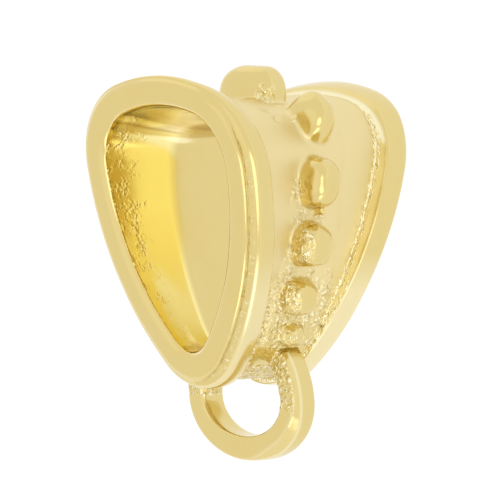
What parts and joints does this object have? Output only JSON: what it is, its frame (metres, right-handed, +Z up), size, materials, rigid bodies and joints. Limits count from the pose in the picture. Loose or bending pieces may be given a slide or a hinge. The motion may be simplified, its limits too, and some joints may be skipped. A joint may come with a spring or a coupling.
{
  "type": "slider bail with a fixed loop",
  "caption": "Cast slider bail: short saddle-shaped tube with rolled rims, a row of graduated granules round its waist and a fixed loop below.",
  "frame": {"origin": "middle of the cord passage's rear mouth, in the plane of the rim that the bail rests on", "axes": "+Z up from the resting rim towards the other rim, +Y towards the tube's broad top, -Y towards the loop"},
  "size_m": [0.0092, 0.0134, 0.0084],
  "materials": {
    "gold_plate": "polished pale gold plate over a cast alloy"
  },
  "bodies": {
    "root": {"bail": "gold_plate"}
  },
  "joints": []
}
